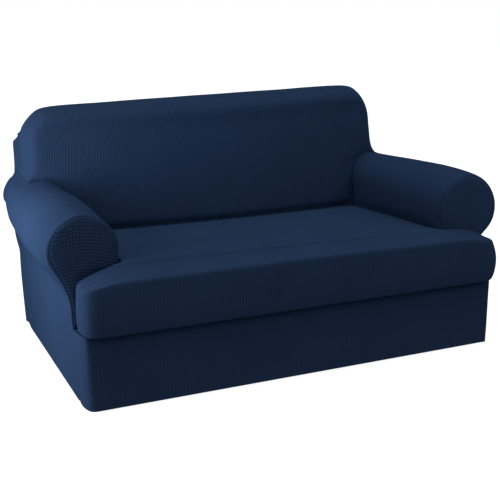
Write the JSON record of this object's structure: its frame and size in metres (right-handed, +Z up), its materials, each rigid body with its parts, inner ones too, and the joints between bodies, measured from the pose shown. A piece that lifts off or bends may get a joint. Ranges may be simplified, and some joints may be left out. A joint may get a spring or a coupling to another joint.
{
  "type": "sofa slipcover",
  "caption": "Stretch-knit slipcover in two pieces: a hollow body cover for a rolled-arm loveseat, down to the floor, and a separate T-cushion cover.",
  "frame": {"origin": "on the floor, under the middle of the cover's overall box", "axes": "+Z up; the front, with the apron, faces -Y; +X to the right as seen from in front"},
  "size_m": [1.6627, 1.0359, 0.8846],
  "materials": {
    "navy_knit": "matt navy stretch knit with a small raised check"
  },
  "bodies": {
    "root": {"arm_wrap_left": "navy_knit", "arm_wrap_right": "navy_knit", "arm_front_left": "navy_knit", "arm_front_right": "navy_knit", "front_apron": "navy_knit", "seat_deck": "navy_knit", "back_inside": "navy_knit", "back_outside": "navy_knit", "cushion_top": "navy_knit", "cushion_band": "navy_knit"}
  },
  "joints": []
}
